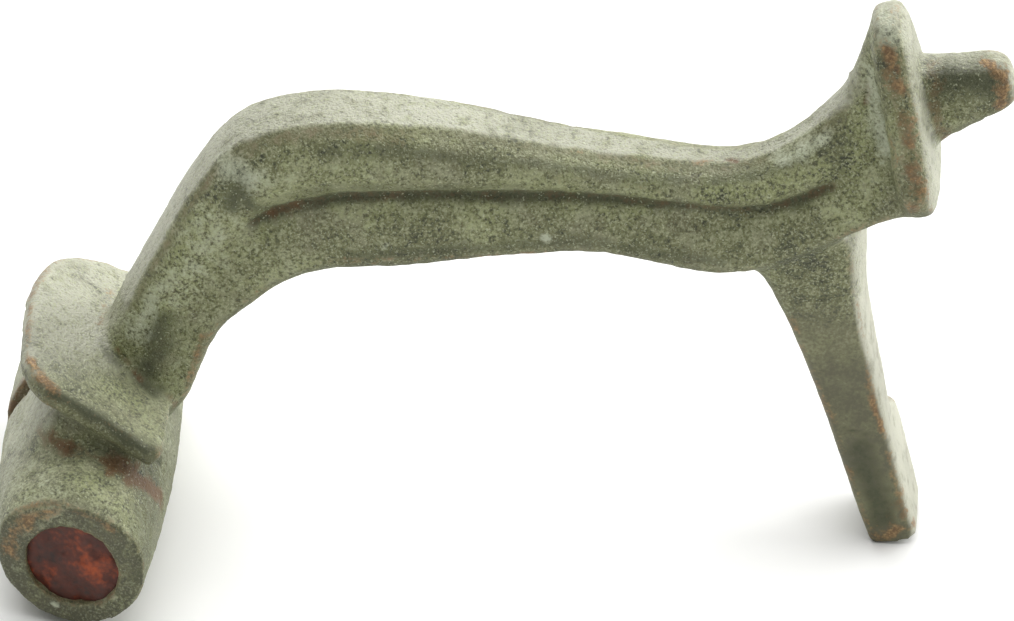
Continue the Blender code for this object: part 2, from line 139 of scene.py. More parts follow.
# Marks where the photograph shows them, most of them left by the years, though the shade marks are mostly
# painted shade and the crest's top is painted light: the kind, half the width, the strength, the depth of a
# pit or minus the height of a crust, and the points of the mark's line
MARKS = {
    "worn rim of the collar": ("wear", 0.17, 0.62, 0.0, (
        (-1.3, 3.6, 9.3), (-1.8, 2.7, 9.4), (-2.2, 1.4, 9.5), (-2.2, -0.5, 9.6), (-2.0, -2.9, 9.6))),
    "bright corner of the collar": ("wear", 0.26, 1.05, 0.0, (
        (-1.7, -3.9, 9.6), (-1.4, -4.5, 9.4), (-1.1, -4.9, 9.2), (-0.7, -4.9, 9.0))),
    "copper by the root of the leg": ("wear", 0.3, 0.6, 0.0, (
        (0.6, 2.9, 8.2), (0.6, 1.7, 8.3), (0.6, 0.5, 8.5))),
    "red scar on the collar": ("rust", 0.16, 0.8, 0.03, (
        (1.3, -1.2, 8.4), (1.7, -1.5, 7.9), (2.2, -1.7, 7.4))),
    "shade under the lip": ("shade", 0.3, 1.1, 0.05, (
        (-0.9, -5.2, 8.9), (-0.3, -5.2, 8.7), (0.4, -5.2, 8.2), (1.2, -5.3, 7.7), (1.9, -5.5, 7.2),
        (2.7, -5.7, 6.8), (3.0, -3.1, 4.5))),
    "red crust on the tube": ("rust", 0.36, 1.3, -0.06, ((-1.0, -4.8, 6.6), (-0.4, -5.0, 6.4))),
    "pit beside the crust": ("shade", 0.16, 1.0, 0.06, ((-0.2, -5.1, 6.3), (-0.1, -5.0, 6.4))),
    "rust band on the tube": ("rust", 0.26, 0.75, 0.02, (
        (-1.5, -4.2, 6.6), (-1.0, -4.8, 6.6), (0.1, -5.1, 6.4), (0.6, -5.3, 6.2), (1.2, -5.4, 6.0))),
    "wide end of the rust band": ("rust", 0.5, 1.5, 0.02, (
        (1.5, -5.4, 5.8), (2.2, -5.4, 5.3), (2.8, -5.1, 4.6), (3.1, -4.6, 3.9))),
    "worn rim of the tube": ("wear", 0.3, 0.9, 0.02, (
        (-2.5, -7.4, 3.2), (-2.3, -7.4, 3.8), (-1.9, -7.5, 4.5), (-1.5, -7.6, 5.1), (-0.9, -7.7, 5.5))),
    "faint rim of the tube": ("wear", 0.2, 0.7, 0.0, (
        (-0.9, -7.7, 5.5), (-0.2, -7.9, 5.7), (0.5, -8.1, 5.7), (1.1, -8.2, 5.5), (1.7, -8.3, 5.0))),
    "chalk on the tube end": ("chalk", 0.16, 1.0, -0.03, ((-0.8, -7.8, 1.2), (-0.7, -7.8, 1.1))),
    "copper on the leg's inner edge": ("wear", 0.22, 0.6, 0.0, (
        (4.6, -1.6, 9.3), (4.3, -1.6, 8.2), (4.0, -1.6, 7.2))),
    "red fleck on the neck": ("rust", 0.2, 0.8, 0.0, ((3.3, -1.8, 6.6), (3.5, -1.6, 6.2))),
    "shaded hollow on the leg": ("shade", 0.6, 0.85, 0.05, (
        (3.2, -1.5, 10.1), (2.9, -1.5, 9.2), (2.6, -1.5, 8.2), (2.4, -1.8, 7.2))),
    # A darker patch at the knee, laid with the shade colour
    "darker patch at the knee": ("shade", 0.45, 0.8, 0.03, (
        (6.2, -1.6, 16.2), (6.6, -1.7, 15.5), (7.0, -1.5, 15.1), (7.5, -1.4, 15.1))),
    "red earth in the groove": ("rust", 0.2, 0.9, 0.0, (
        (7.2, -1.5, 14.9), (7.9, -1.4, 15.2), (8.5, -1.5, 15.4))),
    "second red earth in the groove": ("rust", 0.16, 0.6, 0.0, ((11.0, -1.4, 15.7), (12.1, -1.4, 15.9))),
    "third red earth in the groove": ("rust", 0.18, 0.5, 0.0, (
        (21.4, -1.2, 15.8), (23.7, -1.3, 15.7), (25.4, -1.2, 15.5))),
    "fourth red earth in the groove": ("rust", 0.2, 0.5, 0.0, (
        (27.3, -1.2, 16.0), (28.1, -1.2, 16.4), (28.7, -1.2, 16.8))),
    "brown bloom on the crown": ("rust", 0.28, 0.4, 0.0, (
        (6.0, -1.3, 17.1), (6.8, -1.2, 17.7), (7.7, -1.1, 18.1), (8.9, -1.1, 18.3), (10.2, -1.1, 18.5),
        (11.7, -1.0, 18.4), (12.8, -1.0, 18.3))),
    "dark crust on the knee": ("shade", 0.5, 0.8, -0.03, (
        (6.4, -1.6, 16.7), (6.1, -1.6, 16.1), (5.9, -1.7, 15.5))),
    "orange fleck on the bow": ("wear", 0.13, 1.0, 0.02, ((18.9, -0.3, 17.5), (19.2, -0.3, 17.5))),
    "orange pit on the back": ("rust", 0.13, 1.3, 0.08, ((24.7, 0.2, 16.9), (25.0, 0.1, 17.0))),
    "copper beside the pit": ("wear", 0.2, 0.5, 0.0, (
        (24.5, 0.3, 16.9), (23.6, 0.0, 16.9), (22.9, -0.2, 16.9))),
    "worn under edge of the bow": ("wear", 0.2, 0.4, 0.0, (
        (9.2, -1.9, 13.2), (12.3, -1.8, 13.3), (13.8, -1.8, 13.4), (15.7, -1.7, 13.5))),
    "bright under edge of the bow": ("wear", 0.2, 0.75, 0.0, (
        (15.7, -1.7, 13.5), (16.9, -1.7, 13.7), (17.9, -1.7, 13.8))),
    "white speck on the band": ("chalk", 0.13, 1.5, -0.02, ((17.8, -1.7, 14.5), (17.9, -1.8, 14.4))),
    "pink speck on the band": ("chalk", 0.12, 0.9, -0.02, ((11.7, -1.8, 13.9), (11.8, -1.8, 14.0))),
    "worn edge of the crest": ("wear", 0.42, 0.5, 0.0, (
        (30.6, -0.5, 23.5), (30.9, -1.2, 22.6), (31.2, -1.6, 21.5), (31.6, -2.1, 20.3), (31.8, -2.8, 18.9),
        (32.0, -3.2, 18.1))),
    "upper copper of the crest": ("wear", 0.24, 1.15, 0.0, (
        (30.7, -1.0, 22.9), (30.9, -1.2, 22.5), (31.1, -1.4, 22.2))),
    "lower copper of the crest": ("wear", 0.22, 1.15, 0.0, ((31.2, -1.5, 21.7), (31.4, -1.7, 21.3))),
    "worn corner of the crest": ("wear", 0.34, 1.0, 0.0, (
        (32.1, -3.3, 18.0), (32.0, -3.3, 17.6), (31.8, -3.3, 17.2))),
    "hollow beside the crest": ("chalk", 0.36, 0.8, 0.08, (
        (30.0, -0.3, 21.5), (30.2, -0.6, 20.6), (30.4, -0.8, 19.4), (30.7, -1.1, 18.5))),
    "brown pit by the crest": ("rust", 0.14, 1.0, 0.06, (
        (29.9, -0.4, 21.1), (30.0, -0.5, 20.7), (29.9, -0.6, 20.2))),
    "earth behind the crest": ("rust", 0.34, 0.75, 0.0, (
        (32.3, 0.3, 21.6), (32.5, -0.4, 21.2), (32.5, -0.6, 20.2), (32.7, -0.7, 19.4), (32.9, -0.0, 18.3))),
    "worn rim of the knob": ("wear", 0.28, 1.15, 0.0, (
        (34.4, 0.1, 21.8), (34.9, -0.2, 21.6), (35.1, -0.3, 21.2), (35.1, -0.4, 20.6), (34.9, -0.4, 20.2))),
    "shade on the knob": ("shade", 0.85, 1.0, 0.0, (
        (32.9, -0.4, 21.3), (33.8, -0.4, 21.4), (34.6, -0.4, 21.2))),
    "worn inner edge of the catch": ("wear", 0.24, 0.5, 0.0, (
        (27.2, -1.0, 10.6), (27.6, -0.9, 9.3), (28.2, -0.7, 7.5), (28.8, -0.8, 5.7), (29.4, -0.8, 3.8),
        (30.0, -0.8, 1.8))),
    "worn outer edge of the catch": ("wear", 0.2, 0.4, 0.0, (
        (29.4, -1.2, 13.9), (29.6, -1.0, 12.2), (30.0, -0.7, 9.9), (30.3, -0.6, 8.5))),
    "copper on the catch": ("wear", 0.2, 1.0, 0.0, (
        (30.1, -0.8, 8.5), (30.3, -0.8, 7.4), (30.5, -0.8, 6.4), (30.8, -0.8, 5.3))),
    "lower copper on the catch": ("wear", 0.2, 0.6, 0.0, (
        (30.8, -0.8, 5.3), (31.1, -0.8, 3.9), (31.5, -0.8, 2.3))),
    "copper foot of the catch": ("wear", 0.26, 1.0, 0.0, (
        (30.5, -0.8, 0.4), (31.0, -0.8, 0.4), (31.5, -0.8, 0.7), (32.1, -0.5, 0.8))),
    "rust at the catch's toe": ("rust", 0.26, 0.7, 0.0, ((31.6, -0.8, 1.4), (31.5, -0.8, 1.9))),
    "scratch on the catch": ("shade", 0.1, 0.9, 0.05, (
        (28.6, -0.5, 5.6), (29.3, -0.8, 5.4), (30.2, -0.8, 5.2))),
    "moss green at the waist": ("moss", 0.7, 0.9, 0.0, (
        (23.7, -1.2, 16.3), (26.2, -1.2, 16.6), (28.2, -1.2, 17.5))),
    "moss green on the crown": ("moss", 0.5, 0.6, 0.0, ((10.8, -1.7, 16.8), (11.7, -1.5, 16.3))),
    "moss green on the leg": ("moss", 0.8, 0.8, 0.0, (
        (4.8, -1.6, 13.8), (3.8, -1.5, 11.4), (3.2, -1.5, 10.0))),
    "moss green under the lip": ("moss", 0.7, 0.8, 0.0, (
        (1.0, -3.1, 8.0), (2.3, -3.2, 7.2), (2.8, -4.5, 6.9))),
    "moss green on the tube": ("moss", 0.7, 0.9, 0.0, (
        (0.3, -6.8, 6.1), (1.5, -7.4, 5.7), (2.4, -7.5, 4.8))),
    "moss green by the crest": ("moss", 0.5, 0.8, 0.0, (
        (29.8, -0.6, 19.9), (29.8, -1.0, 18.8), (29.6, -1.1, 17.5))),
    "dark neck under the lip": ("shade", 0.5, 0.5, 0.0, (
        (-0.7, -4.6, 7.5), (0.5, -5.1, 7.3), (1.7, -5.5, 6.9), (2.9, -5.6, 6.2))),
    "rust on the tube end": ("rust", 0.3, 0.9, 0.0, (
        (-1.0, -7.5, 1.6), (-0.2, -7.5, 1.3), (0.8, -7.6, 1.5), (1.5, -7.4, 2.0))),
    "yellow crumbs on the leg": ("moss", 1.1, 1.05, 0.0, (
        (5.0, -1.6, 14.3), (3.8, -1.5, 12.1), (2.8, -1.5, 10.2))),
    "brown film beside the back": ("rust", 0.22, 0.3, 0.0, (
        (19.9, -0.7, 17.3), (21.8, -0.6, 17.0), (23.6, -0.2, 16.9), (25.2, -0.1, 17.0),
        (26.5, -0.1, 17.5))),
    "dark crust beside the back": ("shade", 0.34, 0.55, -0.02, (
        (9.6, -1.5, 18.0), (12.3, -1.4, 18.0), (15.0, -1.3, 17.7), (17.6, -1.1, 17.4), (20.6, -1.0, 16.9),
        (23.7, -0.8, 16.6), (26.0, -0.7, 17.0), (27.5, -0.8, 17.7))),
    "rust in the slot": ("rust", 0.5, 1.0, 0.0, ((-3.2, 1.1, 3.9), (-2.9, 1.1, 4.4), (-2.6, 1.1, 4.9))),
    "brown strip of the crest": ("rust", 0.42, 0.8, 0.0, (
        (30.7, -1.1, 22.7), (31.1, -1.6, 21.5), (31.4, -2.1, 20.1), (31.7, -2.8, 18.9),
        (32.0, -3.3, 18.0))),
    "pale grains on the knee": ("chalk", 0.6, 0.7, 0.0, (
        (5.7, -1.2, 16.9), (6.3, -1.4, 17.0), (6.8, -1.6, 16.7))),
    "pale grains at the waist": ("chalk", 0.45, 0.7, 0.0, (
        (26.7, -0.4, 17.5), (27.6, -0.6, 18.1), (28.4, -0.7, 18.7))),
    "pale grains on the leg": ("chalk", 0.5, 0.55, 0.0, (
        (3.0, -1.4, 11.5), (2.4, -1.4, 10.3), (1.9, -1.4, 9.2))),
    "dark foot of the catch": ("shade", 0.6, 0.9, 0.0, (
        (29.9, -0.8, 4.4), (30.4, -0.8, 2.8), (30.8, -0.8, 1.4))),
    "shaded side of the tube": ("shade", 0.4, 0.7, 0.0, (
        (3.0, -3.5, 4.4), (3.0, -5.2, 4.2), (2.9, -7.3, 3.8), (2.6, -8.5, 3.0))),
    # Painted light: the crest's top, which faces the light from behind and the side, is made paler with the
    # chalk colour
    "painted light on the crest top": ("chalk", 0.5, 0.75, 0.0, (
        (30.4, 0.3, 23.8), (30.6, -0.4, 23.6), (30.8, -0.8, 23.3))),
    "chalky grains down the leg": ("chalk", 0.9, 0.42, 0.0, (
        (5.2, -1.6, 14.5), (4.2, -1.6, 12.6), (3.4, -1.5, 11.0))),
    "dark lower edge of the band": ("shade", 0.3, 0.6, 0.0, (
        (10.4, -1.9, 13.5), (12.3, -1.9, 13.6), (14.2, -1.8, 13.8), (16.1, -1.8, 14.0), (18.4, -1.8, 14.3),
        (20.3, -1.7, 14.2), (22.2, -1.7, 13.8), (24.5, -1.7, 13.6))),
}

# Fields that the casting keeps on its points for the patina to read
FIELDS = ("wear", "shade", "rust", "chalk", "moss", "tone", "pale", "smooth")


def linear(hex_colour):
    """The linear RGBA of an sRGB hex colour."""
    shares = [int(hex_colour[i:i + 2], 16) / 255 for i in (1, 3, 5)]
    return [s / 12.92 if s <= 0.04045 else ((s + 0.055) / 1.055) ** 2.4 for s in shares] + [1.0]


def colour_property(name, hex_colour, description):
    return bpy.props.FloatVectorProperty(name=name, subtype="COLOR", size=4, min=0, max=1,
                                         default=linear(hex_colour), description=description)


def length_property(name, default, description, least=0.0):
    return bpy.props.FloatProperty(name=name, default=default, min=least, unit="LENGTH", precision=6,
                                   description=description)


def power_property(name, default, description):
    return bpy.props.FloatProperty(name=name, default=default, min=0, unit="POWER", description=description)


class PatinaColours(bpy.types.PropertyGroup):
    # Deep green is also the colour of the painted shade in hollows, the groove and under things
    deep_green_and_shade: colour_property("Deep green", "#3d412b", "Patina at its darkest")
    olive: colour_property("Olive green", "#70734c", "Patina over most of the bronze")
    grey: colour_property("Grey green", "#a6aa88", "Dry patina at its palest")
    # The bloom is partly dust and partly painted light, laid on the faces that look up where light falls on
    # them
    bloom: colour_property("Bloom", "#b0b09f", "Dusty skin on backs that face up")
    moss: colour_property("Moss green", "#9da56f", "Yellow green crumbs of carbonate")
    chalk: colour_property("Chalk", "#c2c8ae", "Pale skin in hollows")
    pit: colour_property("Pit", "#24261b", "Dark bottoms of the pits")
    rust: colour_property("Rust stain", "#674a2a", "Cuprite and iron stain")
    copper: colour_property("Worn bronze", "#6b5338", "Brown metal where edges are rubbed")
    bright: colour_property("Bright bronze", "#ab8f63", "Metal on the sharpest edges")
    film: colour_property("Brown film", "#66634a", "Smooth skin where the surface was rubbed")
    # Painted highlights: pale specks laid into the colour where crystals in the crust would catch the light
    painted_glint: colour_property("Glints", "#ccd1b0", "Crystal faces in the crust that catch the light")


class RustColours(bpy.types.PropertyGroup):
    plum: colour_property("Plum", "#38251f", "Old dense rust")
    red: colour_property("Red", "#5a2a1b", "Rust over most of the axle")
    orange: colour_property("Orange", "#a4481c", "Fresh powdery rust")


class CastingSizes(bpy.types.PropertyGroup):
    grid: length_property("Grid", 0.138 * MM, "Spacing of the fine skin's points", least=0.1 * MM)
    unevenness: length_property("Unevenness", 0.05 * MM,
                                "Height of the broad swells that casting and wear left")
    crust: length_property("Crust", 0.022 * MM, "Height of the corrosion's crust")
    groove: length_property("Groove", 0.16 * MM, "How much deeper the groove of the bow is cut")
    ridge: length_property("Ridge", 0.07 * MM, "Height of the ridge along the edges of the bow's back")


class AxleSizes(bpy.types.PropertyGroup):
    growth: length_property("Growth", 0.34 * MM,
                            "How far rust has swollen the axle, up to the wall of the bore")
    recess: length_property("Recess", 0.3 * MM, "How deep the crumbled ends lie in the tube")
    lumps: length_property("Lumps", 0.12 * MM, "Height of the rust's lumps")


class StageSettings(bpy.types.PropertyGroup):
    floor: colour_property("Floor", "#f4f4f2", "Plain pale table")
    floor_side: length_property("Floor side", 1.6, "Side of the square floor")
    sky: bpy.props.FloatProperty(name="Sky", default=0.3, min=0,
                                 description="Strength of the white surroundings")
    back_light: power_property("Back light", 9.0, "Power of the wide light behind")
    top_light: power_property("Top light", 6.0, "Power of the light overhead")
    side_light: power_property("Side light", 10.5, "Power of the light beyond the foot")


class BroochSettings(bpy.types.PropertyGroup):
    casting: bpy.props.PointerProperty(type=CastingSizes)
    axle: bpy.props.PointerProperty(type=AxleSizes)
    patina: bpy.props.PointerProperty(type=PatinaColours)
    rust: bpy.props.PointerProperty(type=RustColours)
    stage: bpy.props.PointerProperty(type=StageSettings)


def value_noise(places, grain, seed):
    """Smooth noise from -1 to 1: random values at the corners of cubes with the grain as their side, in a
    lattice turned by a random rotation, blended between the eight corners around each place."""
    draw = np.random.default_rng(seed)
    table = draw.uniform(-1, 1, (TABLE_SIDE, TABLE_SIDE, TABLE_SIDE))
    turn, _ = np.linalg.qr(draw.normal(size=(3, 3)))
    lattice = places @ turn / grain
    corner = np.floor(lattice).astype(int)
    share = lattice - corner
    share = share * share * (3 - 2 * share)
    total = np.zeros(len(places))
    for step in product((0, 1), repeat=3):
        weight = np.where(step, share, 1 - share).prod(axis=1)
        total += weight * table[tuple(((corner + step) % TABLE_SIDE).T)]
    return total


def layered_noise(places, grain, seed, layers=3):
    """Sum of noises, each with half the grain and half the height of the one before."""
    return sum(value_noise(places, grain / 2**layer, seed + layer) / 2**layer for layer in range(layers))


def rise(value, low, high):
    """0 below the low value, 1 above the high one, and a smooth S between them."""
    share = np.clip((value - low) / (high - low), 0, 1)
    return share * share * (3 - 2 * share)


def bell(distance, reach):
    """1 where the distance is nothing, falling as e to the minus square of the distance over the reach."""
    return np.exp(-(distance / reach) ** 2)


def distance_to_line(places, line):
    """Distance from each place to the nearest point of a chain of straight runs."""
    start = np.array(line[:-1])
    run = np.array(line[1:]) - start
    along = ((places[:, None] - start) * run).sum(axis=2) / (run**2).sum(axis=1)
    gap = places[:, None] - start - np.clip(along, 0, 1)[..., None] * run
    return np.sqrt((gap**2).sum(axis=2).min(axis=1))


def relax(points, edges, shares):
    """Moves each point by a share of the way to the mean of its neighbours, once for each share."""
    first, second = edges.T
    count = np.bincount(edges.ravel(), minlength=len(points))
    for share in shares:
        mean = np.stack([np.bincount(first, points[second, axis], len(points))
                         + np.bincount(second, points[first, axis], len(points))
                         for axis in range(3)], -1)
        points = points + share * (mean / count[:, None] - points)
    return points


def read_points(mesh):
    points = np.empty(3 * len(mesh.vertices))
    mesh.vertices.foreach_get("co", points)
    return points.reshape(-1, 3)


def read_edges(mesh):
    edges = np.empty(2 * len(mesh.edges), dtype=int)
    mesh.edges.foreach_get("vertices", edges)
    return edges.reshape(-1, 2)


def write_points(mesh, points):
    mesh.vertices.foreach_set("co", points.ravel())
    mesh.update()


def read_normals(mesh):
    normals = np.empty(3 * len(mesh.vertices))
    mesh.vertex_normals.foreach_get("vector", normals)
    return normals.reshape(-1, 3)


def write_field(mesh, name, values):
    """Keeps one number for each vertex under a name that a material reads."""
    field = mesh.attributes.new(name, "FLOAT", "POINT")
    field.data.foreach_set("value", np.clip(values, -1, 2).astype(np.float32))


def add_piece(name, mesh, nodes, material):
    """Adds a finished mesh as a piece that rides on the brooch and stands for its CAD nodes."""
    piece = bpy.data.objects.new(name, mesh)
    bpy.context.scene.collection.objects.link(piece)
    mesh.materials.clear()
    mesh.materials.append(material)
    mesh.shade_smooth()
    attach(piece, "root")
    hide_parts(*nodes)


def fine_skin(node, grid):
    """The solid's surface as an even net of small quads: its triangles merged at their corners, remeshed on a
    grid, and relaxed by steps that shrink and swell in turn, so that the facets go and the size stays."""
    shape = bmesh.new()
    shape.from_mesh(frame["nodes"][node].data)
    bmesh.ops.remove_doubles(shape, verts=shape.verts, dist=MERGE_DISTANCE)
    merged = bpy.data.meshes.new("merged " + node)
    shape.to_mesh(merged)
    shape.free()
    holder = bpy.data.objects.new("skin holder", merged)
    bpy.context.scene.collection.objects.link(holder)
    net = holder.modifiers.new("net", "REMESH")
    net.mode = "VOXEL"
    net.voxel_size = grid
    graph = bpy.context.evaluated_depsgraph_get()
    skin = bpy.data.meshes.new_from_object(holder.evaluated_get(graph))
    bpy.data.objects.remove(holder)
    bpy.data.meshes.remove(merged)
    write_points(skin, relax(read_points(skin), read_edges(skin), FACET_STEPS))
    return skin


def mark_field(places, kind_wanted):
    """Strength of one kind of mark: each mark is a bell over the distance to its line, which noise frays,
    with half its width as the reach, and the strongest mark at a place counts."""
    fray = 1 + 0.45 * layered_noise(places, *NOISES["rims of the marks"])
    field = np.zeros(len(places))
    for kind, half_width, strength, _, line in MARKS.values():
        if kind == kind_wanted:
            field = np.maximum(field, strength * bell(distance_to_line(places, line) * fray, half_width))
    return field


def mark_depth(places):
    """Depth of the marks that are pits or crusts, each a bell over the distance to its line."""
    depth = np.zeros(len(places))
    for _, half_width, _, deepest, line in MARKS.values():
        if deepest:
            depth += deepest * bell(distance_to_line(places, line), 0.8 * half_width)
    return depth


def end_gap(places):
    """How far inside the tube's nearer end each place lies. The near end's plane comes from its packed mount,
    and the far end mirrors it."""
    near = next(mount for mount in frame["record"]["mounts"] if mount["name"] == "hinge_end_near")
    slant = near["axis"][0] / near["axis"][1]
    return abs(near["pos_m"][1]) / MM + slant * places[:, 0] - np.abs(places[:, 1])


def end_wear(places):
    """How far use has drawn each place down near the tube's ends: the hinge pin has worn the bore downwards,
    and the rim is rounded off on top."""
    gap = end_gap(places)
    height = places[:, 2] - HINGE_HEIGHT
    from_axis = np.hypot(places[:, 0], height)
    bore = BORE_WEAR * (1 - rise(from_axis, 1.85, 2.9)) * (1 - rise(gap, 0.8, 2.4))
    rim = RIM_WEAR * rise(height, 1.0, 3.0) * rise(from_axis, 2.1, 3.0) * (1 - rise(gap, -0.1, 0.9))
    return bore + rim


def casting_regions(places, normals):
    """Where the finish changes. Four regions run from 0 to 1: the tube's skin, its end faces, the catch's
    flat face, and the backs, which are the bow's flat back and other faces that look up. Two are distances:
    from the groove along both flanks, and from the edge of the bow's back, which is positive on the flank."""
    from_axis = np.hypot(places[:, 0], places[:, 2] - HINGE_HEIGHT)
    tube = 1 - rise(from_axis, 3.3, 4.2)
    ends = tube * rise(np.abs(normals[:, 1]), 0.6, 0.85) * (1 - rise(end_gap(places), 0.3, 0.7))
    catch = rise(places[:, 0], 25.5, 27.5) * (1 - rise(places[:, 2], 9.5, 12.5))

    # The bow and leg from the collar to the crest, and their faces that look away from the hollow under them
    bow = rise(places[:, 2] - 0.5 * places[:, 0], -1.0, 0.5) * rise(places[:, 2], 9.3, 10.2)
    bow *= (1 - rise(places[:, 0], 29.2, 30.0)) * rise(places[:, 0], 0.4, 1.4)
    outward = rise(0.8 * normals[:, 2] - 0.6 * normals[:, 0], -0.05, 0.35)
    side = np.abs(places[:, 1] - BOW_SIDE)
    from_back = side - np.interp(places[:, 0], *zip(*BACK))
    fray = 0.1 * layered_noise(places, *NOISES["rim of the backs"])
    flat = bow * outward * (1 - rise(from_back + fray, -0.12, 0.12))

    # Other faces that look up are less pale on the tube and at the collar's near corner, and the faces that
    # look out at the foot's end, towards the side light, count too. This paleness is partly a dusty bloom and
    # partly painted light, and at the foot's end it is painted light alone
    others = (1 - bow) * rise(normals[:, 2] - 0.4 * np.minimum(normals[:, 0], 0), 0.5, 0.9)
    near_corner = rise(places[:, 0] - places[:, 1] + fray, 1.0, 4.5) * (1 - rise(places[:, 0], 4, 6))
    others *= (1 - 0.3 * tube) * (1 - 0.75 * near_corner)
    others = np.maximum(others, rise(places[:, 0], 26, 28) * rise(normals[:, 0], 0.5, 0.8))

    # The groove runs along the flanks, so places near the bow's middle plane are far from it
    flank = np.stack([places[:, 0], places[:, 2]], -1)
    from_groove = distance_to_line(flank, GROOVE) + FAR_AWAY * (1 - rise(side, 0.9, 1.3))
    return {"tube": tube, "ends": ends, "catch": catch, "backs": np.maximum(flat, others),
            "from_groove": from_groove, "from_back": from_back + FAR_AWAY * (1 - bow * outward)}


def casting_relief(places, regions, sizes):
    """How far each place rises above the plain skin: broad and narrow swells, a crust with pocks that is
    thinner on the catch and the backs, the groove's sharper bottom, the low ridge along the back's edges, and
    the pits and crusts of the marks."""
    swell = sizes.unevenness / MM * (0.6 * value_noise(places, *NOISES["broad swells"])
                                     + 0.4 * value_noise(places, *NOISES["narrow swells"]))
    roughness = 1 - 0.75 * regions["catch"] - 0.5 * regions["backs"]
    crust = sizes.crust / MM * roughness * (value_noise(places, *NOISES["crust"])
                                            + 0.8 * value_noise(places, *NOISES["fine crust"]))
    pocks = -2.2 * sizes.crust / MM * roughness * rise(value_noise(places, *NOISES["pocks"]), 0.45, 0.85)
    groove = -sizes.groove / MM * bell(regions["from_groove"], 0.2)
    ridge = sizes.ridge / MM * bell(regions["from_back"], 0.22)
    return swell + crust + pocks + groove + ridge - mark_depth(places)


def casting_finish(places, normals, bulge, regions):
    """The fields that the patina reads, from the marks, the regions and two noises, of which the largest
    counts where several meet. Wear also follows sharp edges, where the bulge is large, which is how far a
    place stands above the mean of its surroundings. Shade also follows hollows, the groove and faces that
    look down."""
    patches = layered_noise(places, *NOISES["patches"])
    fine = layered_noise(places, *NOISES["fine patches"])
    edge = rise(bulge + 0.012 * patches + 0.012 * fine, 0.045, 0.12)
    hollow = rise(-bulge + 0.01 * fine, 0.03, 0.11)
    groove = bell(regions["from_groove"] * (1 + 0.35 * fine), 0.25) * (0.85 + 0.3 * patches)
    film = bell(regions["from_back"] - 0.22, 0.2)
    under = np.maximum(rise(-normals[:, 2] + 0.1 * fine, 0.1, 0.55),
                       regions["tube"] * rise(normals[:, 0] + 0.1 * fine, 0.6, 0.95))
    inner = 1 - rise(np.hypot(places[:, 0], places[:, 2] - HINGE_HEIGHT), 1.8, 2.0)
    worn_edge = edge * (0.3 + 0.3 * patches) * (1 - 0.8 * regions["ends"])
    rust = np.maximum.reduce([mark_field(places, "rust"), 0.34 * film + 0.6 * inner, 0.4 * groove])
    return {
        "wear": np.maximum(mark_field(places, "wear") * (0.75 + 0.5 * fine), worn_edge),
        "shade": np.maximum.reduce([mark_field(places, "shade"), 1.05 * groove, 0.6 * under, 0.7 * hollow]),
        "rust": rust * (0.85 + 0.3 * fine),
        "chalk": np.maximum(mark_field(places, "chalk"), 0.25 * regions["tube"] * rise(patches, -0.3, 0.8)),
        "moss": np.maximum(mark_field(places, "moss"), 0.6 * rise(patches + 0.4 * fine, 0.0, 0.9)),
        # Tone: random patches and a slightly lighter tube, with painted shade that darkens the tube's end
        # faces and the catch's flat face
        "tone": 0.16 * patches + 0.05 * regions["tube"] - 0.5 * regions["ends"] - 0.2 * regions["catch"],
        # Paleness that is partly a dusty bloom and partly painted light on the backs, the faces that look up
        # and the foot's faces towards the side light
        "pale": regions["backs"] * (0.9 + 0.2 * patches),
        "smooth": np.maximum.reduce([regions["catch"], 0.6 * regions["ends"], 0.5 * edge, 0.6 * film]),
    }


def add_node(tree, kind, inputs=None, **settings):
    """Adds a shader node with its settings. Each input is a socket to link from, or a value."""
    node = tree.nodes.new("ShaderNode" + kind)
    for name, value in settings.items():
        setattr(node, name, value)
    for socket, value in (inputs or {}).items():
        if isinstance(value, bpy.types.NodeSocket):
            tree.links.new(value, node.inputs[socket])
        else:
            node.inputs[socket].default_value = value
    return node


def new_material(name):
    """A material with an empty tree but for its shader and output. Returns it, its tree and its shader."""
    material = bpy.data.materials.new(name)
    material.use_nodes = True
    tree = material.node_tree
    tree.nodes.clear()
    shader = add_node(tree, "BsdfPrincipled")
    add_node(tree, "OutputMaterial", {"Surface": shader.outputs["BSDF"]})
    return material, tree, shader


